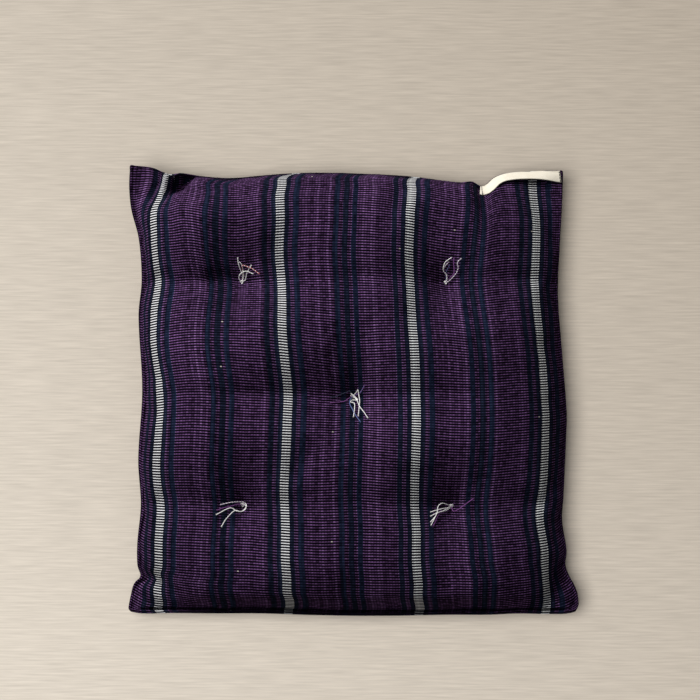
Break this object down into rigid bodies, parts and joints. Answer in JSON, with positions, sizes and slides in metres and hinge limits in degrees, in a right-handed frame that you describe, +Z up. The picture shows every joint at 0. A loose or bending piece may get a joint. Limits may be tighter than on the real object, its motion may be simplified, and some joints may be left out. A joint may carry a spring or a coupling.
{
  "type": "square cushion",
  "caption": "Square filled cushion with a crowned face, drawn-in edges, eared corners, thread ties sunk in dimples and a bare tape on one edge.",
  "frame": {"origin": "on the resting plane, under the middle of the bounding box", "axes": "+Z up out of the face, +Y towards the top edge in the picture, +X towards the edge on the right there"},
  "size_m": [0.4476, 0.4501, 0.0706],
  "materials": {
    "striped_cotton": "matte woven stripes",
    "cream_tape": "matte woven tape",
    "thread": "matte twisted thread"
  },
  "bodies": {
    "root": {"cushion": "striped_cotton", "tape": "cream_tape", "tie_top_left": "thread", "tie_top_right": "thread", "tie_centre": "thread", "tie_bottom_left": "thread", "tie_bottom_right": "thread"}
  },
  "joints": []
}
